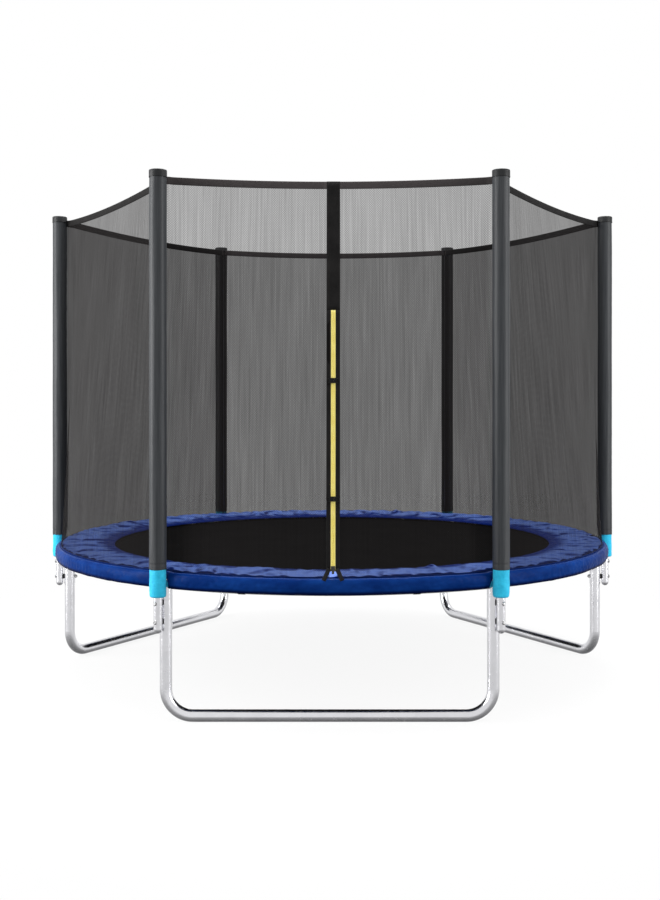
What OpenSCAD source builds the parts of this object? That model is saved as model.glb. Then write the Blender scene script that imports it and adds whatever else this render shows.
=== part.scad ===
// Round backyard trampoline with six padded poles and a safety net with a zipped door.
// Millimetres, +Z up. The origin is on the floor at the centre, and the door faces -Y.

/* [Top rail] */
// Radius of the top rail's centre line
rail_r = 1204; // [1200:1:1206]
// Outside diameter of the top rail tube
rail_od = 40; // [38:1:41]
// Height of the top rail's centre line
rail_z = 510; // [500:1:512]
// Wall of every steel tube
tube_wall = 1.5; // [1.2:0.1:2]
// Springs on each of the six rails
springs_per_rail = 8; // [6:1:8]

/* [Legs] */
// Outside diameter of the leg tubes
leg_od = 45; // [42:0.5:45]
// Radius of the bend at each foot, at the tube's centre line
leg_bend_r = 100; // [80:1:120]
// Outside diameter of the sockets welded under the rails
socket_od = 48; // [48:0.1:49]
// Height of the sockets' lower ends
socket_z = 342; // [300:1:360]
// Height of the leg tubes' upper ends, inside the sockets
leg_top = 478; // [465:1:482]

/* [Poles] */
// Radius of the circle the poles stand on
pole_r = 1250; // [1249:1:1254]
// Outside diameter of the pole tubes
pole_od = 32; // [30:1:33]
// Height of the poles' rounded lower ends
pole_bottom = 332; // [310:1:345]
// Height of the joint between the lower and the upper pole tubes
pole_joint = 1180; // [900:1:1400]
// Height of the poles' upper ends
pole_top = 2018; // [1900:1:2100]
// Heights of the two bolts that hold each pole to its leg
bolt_heights = [374, 443];
// Outside diameter of the foam tube round each pole
foam_od = 62; // [58:1:62]
// Height of the foam's lower end
foam_bottom = 465; // [462:1:490]
// Outside diameter of the fabric sleeve over the foam
sleeve_od = 65.5; // [65:0.5:68]
// Height of the sleeve's lower hem
sleeve_bottom = 567; // [560:1:620]

/* [Jumping bed] */
// Radius of the open jumping mat
mat_r = 972; // [950:1:974]
// Height of the mat's upper face
mat_top = 537; // [535:1:538]
// Thickness of the mat
mat_thick = 3; // [2:0.5:4]

/* [Safety pad] */
// Inner radius of the pad over the springs
pad_in = 978; // [976:1:1000]
// Outer radius of the pad
pad_out = 1232; // [1232:1:1236]
// Height of the pad's underside
pad_bottom = 543; // [542:1:546]
// Height of the pad's upper face
pad_top = 560; // [558:1:570]
// Height of the skirt's lower edge
skirt_bottom = 495; // [480:1:510]

/* [Safety net] */
// Radius of the net's lower edge and of its six corners
net_r = 1208; // [1200:1:1209]
// Height of the net's lower edge
net_bottom = 562; // [561:1:575]
// Height of the net's corners
net_top = 1998; // [1900:1:2000]
// Sag of the net's upper edge between two poles
net_sag = 18; // [0:1:60]
// Thickness of the net
net_thick = 2; // [1.5:0.5:3]

/* [Door] */
// Distance of the door's middle line from the front panel's, towards +X
door_x = 14; // [-60:1:60]
// Width of the black strip over the door's edges
trim_w = 49; // [40:1:60]
// Width of the yellow zip tape
zip_w = 21; // [16:1:24]
// Height of the zip's lower end
zip_low = 577; // [575:1:600]
// Height of the zip's upper end
zip_high = 1509; // [1400:1:1700]
// Heights of the two buckles
buckle_heights = [830, 1251];
// Length of a buckle's socket
socket_len = 24; // [22:1:30]

/* [Hidden] */
PLACES = ["right", "back_right", "back_left", "left", "front_left", "front_right"];
$fn = 48;

STEP = 60;              // angle between two poles
FRONT = 4;              // the net panel that holds the door starts at this pole
steel = [0.78, 0.78, 0.80];
black = [0.09, 0.09, 0.10];
webbing = [0.13, 0.12, 0.13];

// top rail
rail_id = rail_od - 2 * tube_wall;
spigot_od = rail_id - 0.4;
spigot_id = spigot_od - 2 * tube_wall;
spigot_arc = 3.2;
collar_arc = 1.5;
near_pole = 3;          // half angle of a rail stretch longer than a socket or a foam tube is wide
spring_step = STEP / springs_per_rail;
hole_r = 4;
hole_offset = 8;        // the spring holes lie this far inside the rail's centre line

// legs
leg_inset = leg_od / 2;
socket_id = leg_od + 0.4;
leg_mid = rail_r * cos(STEP / 2);
leg_half = rail_r * sin(STEP / 2);

// pole fasteners
bolt_r = 4;
bolt_hole_r = 4.2;
gap_r = (rail_r + socket_od / 2 + pole_r - pole_od / 2) / 2;
bolt_head_r = 8;
nut_h = 6.5;
nut_r = 7.5;

// mat's hem and springs
hem_w = 52;
hem_h = 8;
wire_r = 1.6;
coil_r = 12;
coil_bore_r = 9.4;
rail_hook_r = 9;
ring_hook_r = 5.5;
spring_z = rail_z + 14;
rail_hook_x = rail_r - hole_offset - rail_hook_r;
rail_hook_z = spring_z + 3;
ring_hook_x = mat_r + 68;
ring_z = spring_z + ring_hook_r;
coil_start = ring_hook_x + 8;
coil_end = rail_hook_x - rail_hook_r - 6;

// net
net_mid_top = net_top - net_sag;
net_lean = atan2(net_r * (1 - cos(STEP / 2)), net_mid_top - net_bottom);
net_slope_len = norm([net_r * (1 - cos(STEP / 2)), net_mid_top - net_bottom]);
top_band = 25;
low_band = 5;
band_out = 1.5;
corner_gap = 0.004;     // share of a panel left free at each pole
door_s = 0.5 + door_x / net_r;
door_gap = 0.0105;      // half of the slit, as a share of the front panel
band_gap = 0.021;       // half of the bindings' break at the door, the same way
t_low = low_band / net_slope_len;
t_top = 1 - top_band / net_slope_len;
seam_gap = 0.8 / net_slope_len;
tie_half = 6;           // half width of a tie and of the lug that it hangs from
lug_reach = 8;
lug_z = pole_top - 18;

// door, in a frame that lies in the front panel's middle line
trim_front = 2;
trim_thick = 1.4;
tape_front = 1.8;
coil_front = 4;
coil_w = 5;
slider_len = 18;
slider_w = 14;
slider_front = 7.5;
pull_pivot = [0, -8.7, 12];
pull_pin_r = 0.95;
pull_hole_r = 1.0;
buckle_back = 11;
buckle_front = 20;
buckle_half = 9;
buckle_wall = 2.2;
buckle_mouth = 3;
plug_len = 16;
fit = 0.3;

function z_to_door(z) = (z - net_bottom) / cos(net_lean);
function mix(a, b, s) = a + s * (b - a);
function arc_points(centre, r, from, to, n = 6) =
    [for (i = [0:n]) centre + r * [cos(mix(from, to, i / n)), sin(mix(from, to, i / n))]];

module at_pole(k) {
    rotate([0, 0, STEP * k]) children();
}

module across(x, z) {
    translate([x, 0, z]) rotate([0, 90, 0]) children();
}

module in_door() {
    translate([door_x, -net_r, net_bottom]) rotate([-net_lean, 0, 0]) children();
}

module slab(x0, x1, y0, y1, z0, z1) {
    translate([x0, y0, z0]) cube([x1 - x0, y1 - y0, z1 - z0]);
}

module rail_arc(from, arc, d) {
    rotate([0, 0, from]) rotate_extrude(angle = arc) translate([rail_r, rail_z]) circle(d = d);
}

// Top rail: a bent tube with a socket welded under it and a spigot that plugs into the next rail.
module top_rail(k) {
    spigot_from = STEP / 2 - collar_arc;
    color(steel) at_pole(k) difference() {
        union() {
            difference() {
                union() {
                    rail_arc(-STEP / 2, STEP, rail_od);
                    rail_arc(STEP / 2, spigot_arc, spigot_od);
                }
                rail_arc(-STEP / 2 - 1, STEP + 1 - collar_arc, rail_id);
                rail_arc(spigot_from - 1, spigot_arc + collar_arc + 2, spigot_id);
            }
            difference() {
                translate([rail_r, 0, socket_z]) cylinder(d = socket_od, h = rail_z - socket_z);
                translate([rail_r, 0, socket_z - 1]) cylinder(d = socket_id, h = rail_z - socket_z + 2);
                rail_arc(-near_pole, 2 * near_pole, rail_od);
            }
        }
        for (j = [0:springs_per_rail - 1]) rotate([0, 0, (j + 0.5) * spring_step - STEP / 2])
            translate([rail_r - hole_offset, 0, rail_z + 8]) cylinder(r = hole_r, h = rail_od / 2);
        for (z = bolt_heights) across(rail_r - socket_od, z) cylinder(r = bolt_hole_r, h = 2 * socket_od);
    }
}

module leg_path(d, reach) {
    translate([leg_mid, leg_bend_r - leg_half, leg_inset])
        rotate([-90, 0, 0]) cylinder(d = d, h = 2 * (leg_half - leg_bend_r));
    for (side = [0, 1]) mirror([0, side, 0]) {
        translate([leg_mid, leg_half - leg_bend_r, leg_inset + leg_bend_r])
            rotate([90, 0, 90]) rotate([0, 0, -90]) rotate_extrude(angle = 90)
            translate([leg_bend_r, 0]) circle(d = d);
        translate([leg_mid, leg_half, leg_inset + leg_bend_r])
            cylinder(d = d, h = leg_top + reach - leg_inset - leg_bend_r);
    }
}

// Leg: one U-shaped tube that stands under two neighbouring poles.
module leg_base(middle) {
    color(steel) rotate([0, 0, middle]) difference() {
        leg_path(leg_od, 0);
        leg_path(leg_od - 2 * tube_wall, 1);
        for (side = [-1, 1]) rotate([0, 0, side * STEP / 2]) for (z = bolt_heights)
            across(rail_r - socket_od, z) cylinder(r = bolt_hole_r, h = 2 * socket_od);
    }
}

module pole_lower(k) {
    color(steel) at_pole(k) difference() {
        translate([pole_r, 0, 0]) difference() {
            union() {
                translate([0, 0, pole_bottom + pole_od / 2])
                    cylinder(d = pole_od, h = pole_joint - pole_bottom - pole_od / 2);
                translate([0, 0, pole_bottom + pole_od / 2]) sphere(d = pole_od);
            }
            translate([0, 0, pole_bottom + pole_od / 2])
                cylinder(d = pole_od - 2 * tube_wall, h = pole_joint - pole_bottom);
        }
        for (z = bolt_heights) across(pole_r - pole_od, z) cylinder(r = bolt_hole_r, h = 2 * pole_od);
    }
}

// Upper pole: a tube with a thinner end that plugs into the lower one.
module pole_upper(k) {
    pole_id = pole_od - 2 * tube_wall;
    plug_od = pole_id - 0.4;
    plug_low = pole_joint - 60;
    plug_high = pole_joint + 10;
    color(steel) at_pole(k) translate([pole_r, 0, 0]) difference() {
        union() {
            translate([0, 0, pole_joint]) cylinder(d = pole_od, h = pole_top - pole_joint);
            translate([0, 0, plug_low]) cylinder(d = plug_od, h = plug_high - plug_low);
        }
        translate([0, 0, plug_low - 1]) cylinder(d = plug_od - 2 * tube_wall, h = pole_top - plug_low);
        translate([0, 0, plug_high]) cylinder(d = pole_id, h = pole_top);
    }
}

module pole_tube(k, outer, inner, from, to) {
    at_pole(k) translate([pole_r, 0, from]) difference() {
        cylinder(d = outer, h = to - from);
        translate([0, 0, -1]) cylinder(d = inner, h = to - from + 2);
    }
}

// Foam: its side towards the middle is hollowed where it passes the leg's socket and the rail.
module pole_foam(k) {
    color([0.21, 0.73, 0.89]) difference() {
        pole_tube(k, foam_od, pole_od + 0.6, foam_bottom, pole_top - 3);
        at_pole(k) translate([rail_r, 0, foam_bottom - 1])
            cylinder(d = socket_od + 0.6, h = rail_z - foam_bottom + 1);
        at_pole(k) rail_arc(-near_pole, 2 * near_pole, rail_od + 0.6);
    }
}

module pole_sleeve(k) {
    color([0.25, 0.26, 0.27]) pole_tube(k, sleeve_od, foam_od + 0.6, sleeve_bottom, pole_top - 3);
}

// Caps: a cup over each sleeve's end, with a plug in the pole and a lug that holds the net.
module pole_caps() {
    inner_r = sleeve_od / 2 + 0.3;
    cup_r = inner_r + 1.3;
    cup_low = pole_top - 20;
    plug_r = pole_od / 2 - tube_wall - 0.3;
    plug_low = pole_top - 25;
    edge = 3;
    profile = concat(
        [[0, plug_low], [plug_r, plug_low], [plug_r, pole_top],
         [inner_r, pole_top], [inner_r, cup_low], [cup_r, cup_low]],
        arc_points([cup_r - edge, pole_top + 1], edge, 0, 90),
        [[0, pole_top + 1 + edge]]
    );
    color(black) for (k = [0:5]) at_pole(k) translate([pole_r, 0, 0]) {
        rotate_extrude() polygon(profile);
        slab(-cup_r - lug_reach, 1 - cup_r, -tie_half, tie_half, lug_z, lug_z + 4);
    }
}

module each_bolt() {
    for (k = [0:5], z = bolt_heights) rotate([0, 0, STEP * k]) translate([0, 0, z]) children();
}

// Bolts: one with a domed head through each pole, spacer, socket and leg.
module pole_bolts() {
    head = pole_r + pole_od / 2 + 0.05;
    rim = 2;
    dome = 3;
    tail = rail_r - socket_od / 2 - nut_h - 4;
    color(steel) each_bolt() rotate([0, 90, 0]) {
        translate([0, 0, tail]) cylinder(r = bolt_r, h = head - tail + 1);
        translate([0, 0, head]) cylinder(r = bolt_head_r, h = rim);
        translate([0, 0, head + rim]) cylinder(r1 = bolt_head_r, r2 = bolt_head_r - dome, h = dome);
    }
}

module pole_nuts() {
    face = rail_r - socket_od / 2 - 0.05;
    color(steel) each_bolt() translate([face - nut_h, 0, 0]) rotate([0, 90, 0]) difference() {
        cylinder(r = nut_r, h = nut_h, $fn = 6);
        translate([0, 0, -1]) cylinder(r = bolt_r + 0.05, h = nut_h + 2);
    }
}

// Spacers: plastic saddles that keep each pole clear of its leg.
module pole_spacers() {
    deep = 7;
    wide = 9;
    tall = 10;
    color(black) each_bolt() difference() {
        slab(gap_r - deep, gap_r + deep, -wide, wide, -tall, tall);
        translate([rail_r, 0, -tall - 1]) cylinder(d = socket_od + 0.2, h = 2 * tall + 2);
        translate([pole_r, 0, -tall - 1]) cylinder(d = pole_od + 0.2, h = 2 * tall + 2);
        across(gap_r - deep - 1, 0) cylinder(r = bolt_hole_r, h = 2 * deep + 2);
    }
}

module jumping_mat() {
    color([0.08, 0.08, 0.085]) translate([0, 0, mat_top - mat_thick])
        cylinder(r = mat_r, h = mat_thick, $fn = 180);
}

// Hem: the folded webbing round the mat, which holds the rings.
module mat_hem() {
    color(webbing) rotate_extrude($fn = 180) translate([mat_r, mat_top - hem_h]) square([hem_w, hem_h]);
}

module each_spring() {
    for (i = [0:6 * springs_per_rail - 1]) rotate([0, 0, (i + 0.5) * spring_step - STEP / 2]) children();
}

module mat_rings() {
    base_x = mat_r + 32;
    tip_x = ring_hook_x + 2;
    color(steel) each_spring() translate([0, 0, ring_z - 2]) linear_extrude(4) difference() {
        polygon([[base_x - 2, -14], [tip_x, -9], [tip_x, 9], [base_x - 2, 14]]);
        polygon([[base_x + 2, -9.5], [tip_x - 4, -5.6], [tip_x - 4, 5.6], [base_x + 2, 9.5]]);
    }
}

// A hook of round wire in the plane of the spring, turning from one angle to another.
module hook(x, z, r, from, arc) {
    translate([x, 0, z]) rotate([90, 0, 0]) rotate([0, 0, from]) rotate_extrude(angle = arc)
        translate([r, 0]) circle(r = wire_r, $fn = 24);
}

module springs() {
    disc = 2;
    color(steel) each_spring() {
        across(coil_start, spring_z) difference() {
            cylinder(r = coil_r, h = coil_end - coil_start);
            translate([0, 0, disc]) cylinder(r = coil_bore_r, h = coil_end - coil_start - 2 * disc);
        }
        hook(ring_hook_x, ring_z, ring_hook_r, 90, 180);
        across(ring_hook_x, spring_z) cylinder(r = wire_r, h = coil_start - ring_hook_x + 1, $fn = 24);
        across(coil_end - 1, spring_z)
            cylinder(r = wire_r, h = rail_hook_x - rail_hook_r - coil_end + 1, $fn = 24);
        translate([rail_hook_x - rail_hook_r, 0, spring_z]) sphere(r = wire_r, $fn = 24);
        translate([rail_hook_x - rail_hook_r, 0, spring_z])
            cylinder(r = wire_r, h = rail_hook_z - spring_z, $fn = 24);
        hook(rail_hook_x, rail_hook_z, rail_hook_r, 0, 180);
        translate([rail_hook_x + rail_hook_r, 0, rail_hook_z - 7])
            cylinder(r = wire_r, h = 7, $fn = 24);
    }
}

// A ring of the pad's cover, turned from its profile and notched round each pole.
module notched_ring(profile) {
    notch_r = sleeve_od / 2 + 3;
    color([0.10, 0.22, 0.58]) difference() {
        rotate_extrude($fn = 180) polygon(profile);
        for (k = [0:5]) at_pole(k) translate([pole_r, 0, skirt_bottom - 1])
            cylinder(r = notch_r, h = pad_top - skirt_bottom + 2);
    }
}

// Safety pad: the padded ring over the springs.
module safety_pad() {
    round_in = 6;
    round_out = 9;
    notched_ring(concat(
        [[pad_in, pad_bottom]],
        arc_points([pad_in + round_in, pad_top - round_in], round_in, 180, 90),
        arc_points([pad_out - round_out, pad_top - round_out], round_out, 90, 0),
        [[pad_out, pad_bottom]]
    ));
}

// Skirt: the cover's outer edge, which hangs over the rail.
module pad_skirt() {
    skirt_thick = 3;
    notched_ring([
        for (r = [pad_out - skirt_thick, pad_out]) [r, skirt_bottom],
        for (r = [pad_out, pad_out - skirt_thick]) [r, pad_bottom]
    ]);
}

// Straps sewn under the pad, each looped round the rail between two springs.
module pad_straps() {
    strap_w = 25;
    loop_r = rail_od / 2 + 0.4;
    stem = 8;
    color(webbing) for (k = [0:5], side = [-1, 1])
        rotate([0, 0, STEP * k + side * 2 * spring_step]) translate([rail_r, 0, rail_z])
        rotate([90, 0, 0]) linear_extrude(strap_w, center = true) difference() {
            union() {
                circle(r = loop_r + 1.2);
                translate([-stem, 0]) square([2 * stem, pad_bottom - rail_z]);
            }
            circle(r = loop_r);
        }
}

// A point of a net panel: s runs from one pole to the next, t from the lower edge to the upper one.
function net_point(k, s, t, out) =
    let (
        r = net_r + out,
        angle = STEP * (k + s),
        low = [r * cos(angle), r * sin(angle), net_bottom],
        from = r * [cos(STEP * k), sin(STEP * k)],
        to = r * [cos(STEP * (k + 1)), sin(STEP * (k + 1))],
        high = [mix(from.x, to.x, s), mix(from.y, to.y, s), net_top - 4 * net_sag * s * (1 - s)]
    )
    low + t * (high - low);

// A closed skin over a stretch of one panel, between two distances from the net's outer face.
module net_skin(k, s_range, t_range, out, in, ns, nt) {
    row = nt + 1;
    count = (ns + 1) * row;
    points = [
        for (o = [out, in], i = [0:ns], j = [0:nt])
            net_point(k, mix(s_range[0], s_range[1], i / ns), mix(t_range[0], t_range[1], j / nt), o)
    ];
    cell = function(a, b, c, d, flip) flip ? [[a, d, c], [a, c, b]] : [[a, b, c], [a, c, d]];
    faces = [
        for (i = [0:ns - 1], j = [0:nt - 1], side = [0, 1])
            let (a = side * count + i * row + j)
            each cell(a, a + 1, a + row + 1, a + row, side == 1),
        for (i = [0:ns - 1], side = [0, 1])
            let (a = i * row + side * nt)
            each cell(a, a + row, a + row + count, a + count, side == 1),
        for (j = [0:nt - 1], side = [0, 1])
            let (a = side * ns * row + j)
            each cell(a, a + count, a + count + 1, a + 1, side == 1)
    ];
    polyhedron(points, faces);
}

// Net panel: one skin between two poles, or two with the door's slit between them.
module net_panel(k) {
    t_range = [t_low + seam_gap, t_top - seam_gap];
    color([0.16, 0.15, 0.15, 0.6]) {
        if (k == FRONT) {
            net_skin(k, [corner_gap, door_s - door_gap], t_range, 0, -net_thick, 8, 4);
            net_skin(k, [door_s + door_gap, 1 - corner_gap], t_range, 0, -net_thick, 8, 4);
        } else {
            net_skin(k, [corner_gap, 1 - corner_gap], t_range, 0, -net_thick, 16, 4);
        }
    }
}

module net_bindings() {
    ranges = function(k) k == FRONT
        ? [[corner_gap, door_s - band_gap], [door_s + band_gap, 1 - corner_gap]]
        : [[corner_gap, 1 - corner_gap]];
    color(webbing) for (k = [0:5], s_range = ranges(k), t_range = [[0, t_low], [t_top, 1]])
        net_skin(k, s_range, t_range, band_out, -net_thick - band_out, 12, 1);
}

// Ties: webbing tabs that hang the net's corners from the caps' lugs.
module net_ties() {
    tab_x = net_r + band_out + 0.3;
    color(webbing) for (k = [0:5]) at_pole(k)
        slab(tab_x, tab_x + 2, -tie_half, tie_half, net_top - top_band, lug_z);
}

module door_trim() {
    low = z_to_door(zip_low);
    high = z_to_door(zip_high);
    color(webbing) in_door() {
        for (side = [0, 1]) mirror([side, 0, 0])
            slab(zip_w / 2 + fit, trim_w / 2, -trim_front, trim_thick - trim_front, low, high);
        slab(-trim_w / 2, trim_w / 2, -trim_front, trim_thick - trim_front, high, net_slope_len);
    }
}

module zip_tape() {
    low = z_to_door(zip_low);
    high = z_to_door(zip_high) - fit;
    color([0.98, 0.93, 0.50]) in_door() {
        slab(-zip_w / 2, zip_w / 2, -tape_front, 1.2 - tape_front, low, high);
        slab(-coil_w / 2, coil_w / 2, -coil_front, -tape_front, low, high);
    }
}

module at_slider() {
    in_door() translate([0, 0, z_to_door(zip_low) + 1]) children();
}

// Slider: a saddle that runs on the zip's raised coil and carries the pull.
module zip_slider() {
    lug_half = 1.5;
    lug_r = 2;
    color([0.2, 0.2, 0.2]) at_slider() difference() {
        union() {
            slab(-slider_w / 2, slider_w / 2, -slider_front, -tape_front - fit, 0, slider_len);
            translate([0, 0, pull_pivot.z])
                slab(-lug_half, lug_half, pull_pivot.y, 1 - slider_front, -2 * lug_r, 2 * lug_r);
            translate([-lug_half, pull_pivot.y, pull_pivot.z]) rotate([0, 90, 0])
                cylinder(r = lug_r, h = 2 * lug_half);
        }
        slab(-coil_w / 2 - fit, coil_w / 2 + fit, -coil_front - fit, 0, -1, slider_len + 1);
        translate([-slider_w, pull_pivot.y, pull_pivot.z]) rotate([0, 90, 0])
            cylinder(r = pull_hole_r, h = 2 * slider_w, $fn = 24);
    }
}

// Pull: a tongue that hangs from a pin through the slider's lug.
module zip_pull() {
    cheek = 1.8;
    half = 4;
    thick = 0.9;        // half of the tongue's thickness
    shoulder = 6;
    tongue = 22;
    color([0.2, 0.2, 0.2]) at_slider() translate(pull_pivot) {
        across(-half, 0) cylinder(r = pull_pin_r, h = 2 * half, $fn = 24);
        for (side = [0, 1]) mirror([side, 0, 0]) slab(cheek, half, -thick, thick, -shoulder - 1, 0);
        slab(-half, half, -thick, thick, -tongue, -shoulder);
    }
}

module at_buckle(i) {
    in_door() translate([0, 0, z_to_door(buckle_heights[i])]) children();
}

// Buckle socket: a hollow shell, open towards +X, with windows for the plug's side arms.
module buckle_sockets() {
    back = buckle_mouth - socket_len;
    inner = buckle_half - buckle_wall;
    window = buckle_half + 1;
    y0 = buckle_wall - buckle_front;
    y1 = -buckle_wall - buckle_back;
    color(black) for (i = [0, 1]) at_buckle(i) difference() {
        slab(back, buckle_mouth, -buckle_front, -buckle_back, -buckle_half, buckle_half);
        slab(back + 8, buckle_mouth + 1, y0, y1, -inner, inner);
        slab(back + 10, buckle_mouth - 5, y0, y1, -window, window);
        slab(back + 2, back + 4.5, -buckle_front - 1, 1 - buckle_back, -inner, inner);
    }
}

// Buckle plug: a body with a guide and two sprung side arms that snap into the socket.
module buckle_plug(i) {
    arm_back = -9;
    arm_y0 = buckle_wall + fit - buckle_front;
    arm_y1 = -buckle_wall - fit - buckle_back;
    root = buckle_mouth + 1;
    end = buckle_mouth + plug_len;
    half = buckle_half;
    color(black) at_buckle(i) difference() {
        union() {
            slab(buckle_mouth + fit, end, 0.5 - buckle_front, -buckle_back - 0.5, -half, half);
            slab(arm_back, root, arm_y0, arm_y1, -1.5, 1.5);
            for (side = [0, 1]) mirror([0, 0, side]) slab(arm_back + 3, root, arm_y0, arm_y1, 3.6, 6.2);
        }
        slab(end - 5, end - 2.5, -buckle_front, -buckle_back, 2 - half, half - 2);
    }
}

module strap_run(from, to, w, thick) {
    hull() {
        translate(from) cube([w, thick, thick], center = true);
        translate(to) cube([w, thick, thick], center = true);
    }
}

// Straps: webbing that holds the buckles, and the two straps that tie the door's foot to the pad.
module door_straps() {
    flat_y = -trim_front - fit;
    thick = 1.6;
    half = 8.5;
    side_end = trim_w / 2;
    socket_end = buckle_mouth - socket_len - fit;
    plug_end = buckle_mouth + plug_len + fit;
    loop_y = (-buckle_front - buckle_back) / 2;
    foot_high = [14, -net_r - 7, 588];
    foot_low = [33, -pad_out - 6, 549];
    color(webbing) {
        for (i = [0, 1]) at_buckle(i) {
            slab(-side_end, socket_end, flat_y - thick, flat_y, -half, half);
            slab(socket_end - thick, socket_end, loop_y, flat_y, -half, half);
            slab(plug_end, side_end, flat_y - thick, flat_y, -half, half);
        }
        translate([door_x, 0, 0]) for (side = [0, 1])
            mirror([side, 0, 0]) strap_run(foot_high, foot_low, 12, 2);
    }
}

for (k = [0:5]) {
    top_rail(k);
    pole_lower(k);
    pole_upper(k);
    pole_foam(k);
    pole_sleeve(k);
    net_panel(k);
}
leg_base(270);  // leg_base_front
leg_base(30);  // leg_base_right
leg_base(150);  // leg_base_left
pole_caps();
pole_bolts();
pole_nuts();
pole_spacers();
jumping_mat();
mat_hem();
mat_rings();
springs();
safety_pad();
pad_skirt();
pad_straps();
net_bindings();
net_ties();
door_trim();
zip_tape();
zip_slider();
zip_pull();
buckle_sockets();
buckle_plug(1);  // buckle_plug_upper
buckle_plug(0);  // buckle_plug_lower
door_straps();
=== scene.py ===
import math

import bpy
import numpy as np
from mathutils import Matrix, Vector


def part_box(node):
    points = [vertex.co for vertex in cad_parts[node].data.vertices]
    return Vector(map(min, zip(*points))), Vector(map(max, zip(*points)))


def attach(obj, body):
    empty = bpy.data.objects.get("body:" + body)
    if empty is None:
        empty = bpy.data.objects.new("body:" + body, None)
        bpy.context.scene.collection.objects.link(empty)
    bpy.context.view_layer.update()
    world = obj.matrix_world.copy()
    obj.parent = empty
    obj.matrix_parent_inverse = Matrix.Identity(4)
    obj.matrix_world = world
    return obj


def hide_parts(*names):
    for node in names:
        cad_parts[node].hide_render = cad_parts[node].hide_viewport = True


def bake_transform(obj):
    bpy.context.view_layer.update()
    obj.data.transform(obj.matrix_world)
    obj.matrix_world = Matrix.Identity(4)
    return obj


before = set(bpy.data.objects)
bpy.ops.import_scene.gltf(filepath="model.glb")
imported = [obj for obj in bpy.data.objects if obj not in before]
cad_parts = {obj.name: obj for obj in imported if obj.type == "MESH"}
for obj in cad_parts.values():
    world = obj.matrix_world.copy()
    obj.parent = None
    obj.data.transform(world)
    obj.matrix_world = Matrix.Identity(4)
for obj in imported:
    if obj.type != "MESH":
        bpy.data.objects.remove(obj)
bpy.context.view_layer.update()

# A round trampoline with a padded ring, six padded poles and a safety net with a zipped door.
# Metres, +Z up, the same frame as the CAD model. The door faces -Y.

TAU = 2 * math.pi
PLACES = ["right", "back_right", "back_left", "left", "front_left", "front_right"]
STEP = math.radians(60)
POLE_BEARINGS = [STEP * k for k in range(6)]


# ---- sizes, from the frame
pole_low, pole_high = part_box("pole_upper_right")
foam_low, foam_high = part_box("pole_foam_right")
sleeve_low, sleeve_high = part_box("pole_sleeve_right")
mat_low, mat_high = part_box("jumping_mat")
hem_low, hem_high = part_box("mat_hem")
pad_low, pad_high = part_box("safety_pad")
net_low, net_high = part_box("net_bindings")
trim_low, trim_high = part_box("door_trim")

POLE_R = (pole_low.x + pole_high.x) / 2  # from the model's centre to a pole's axis
FOAM_R = (foam_high.y - foam_low.y) / 2
SLEEVE_R = (sleeve_high.y - sleeve_low.y) / 2
SLEEVE_FACE = POLE_R - SLEEVE_R  # from the centre to the side of a sleeve that faces it

MAT_R = mat_high.x
PAD_IN = MAT_R + 0.006
PAD_OUT = pad_high.x
PAD_TOP = pad_high.z
PAD_BOTTOM = pad_low.z
SKIRT_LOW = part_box("pad_skirt")[0].z
RAIL_R, RAIL_Z, RAIL_TUBE_R = 1.204, 0.510, 0.020  # the rail's radius, its height and its tube's radius

NET_R = 1.208  # from the centre to the net's corners
NET_LOW = net_low.z
NET_HIGH = net_high.z
NET_SAG = 0.018  # how far the upper edge hangs between two poles
NET_MID_HIGH = NET_HIGH - NET_SAG
NET_MID_IN = NET_R * (1 - math.cos(STEP / 2))
LEAN = math.atan2(NET_MID_IN, NET_MID_HIGH - NET_LOW)
SLOPE = math.hypot(NET_MID_IN, NET_MID_HIGH - NET_LOW)
TOP_BAND = 0.028  # width of the bound upper edge
TOP_RAISE = 0.006  # that edge stands this far above the CAD net's
TUCK = 0.0062  # the lower edge goes this far down into the pad's groove
CORNER_GAP = SLEEVE_FACE - NET_R + 0.0015  # how far the net's corners turn outward to the sleeves
NET_BACK = -0.001  # the net lies this far inside its nominal surface

# shares of a panel's width: free at each pole, turned outward there, and free on each side of the door
CORNER = 0.0006
TURN_OUT = 0.025
DOOR_GAP = 0.0105
BAND_GAP = 0.0188

DOOR_PANEL = 4
DOOR_X = (trim_low.x + trim_high.x) / 2
DOOR_S = 0.5 + DOOR_X / NET_R
TRIM_HALF = (trim_high.x - trim_low.x) / 2


# ---- small tools
def mix(a, b, t):
    return a + (b - a) * t


def smooth_step(low, high, x):
    t = np.clip((x - low) / (high - low), 0, 1)
    return t * t * (3 - 2 * t)


def lattice_noise(u, v, cells_u, cells_v, seed, wrap=True):
    """Smooth noise from about -1 to 1 over u and v from 0 to 1. It repeats in u when wrap is true."""
    u, v = np.broadcast_arrays(u, v)
    grid = np.random.default_rng(seed).uniform(-1, 1, (cells_u + 1, cells_v + 1))
    if wrap:
        grid[cells_u] = grid[0]
    x = np.clip(u, 0, 1) * cells_u * (1 - 1e-9)
    y = np.clip(v, 0, 1) * cells_v * (1 - 1e-9)
    i, j = x.astype(int), y.astype(int)
    fx, fy = smooth_step(0, 1, x - i), smooth_step(0, 1, y - j)
    low = mix(grid[i, j], grid[i + 1, j], fx)
    high = mix(grid[i, j + 1], grid[i + 1, j + 1], fx)
    return mix(low, high, fy)


def stacked(*values):
    """One array whose last axis holds these values, of any shapes that go together."""
    return np.stack(np.broadcast_arrays(*values), -1)


def grid_faces(rows, columns, wrap_rows=False, wrap_columns=False):
    """Quads over a grid of points, row by row. Wrapped directions close on themselves."""
    i = np.arange(rows if wrap_rows else rows - 1)
    j = np.arange(columns if wrap_columns else columns - 1)
    i, j = (a.ravel() for a in np.meshgrid(i, j, indexing="ij"))
    i2, j2 = (i + 1) % rows, (j + 1) % columns
    return stacked(i * columns + j, i2 * columns + j, i2 * columns + j2, i * columns + j2)


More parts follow.
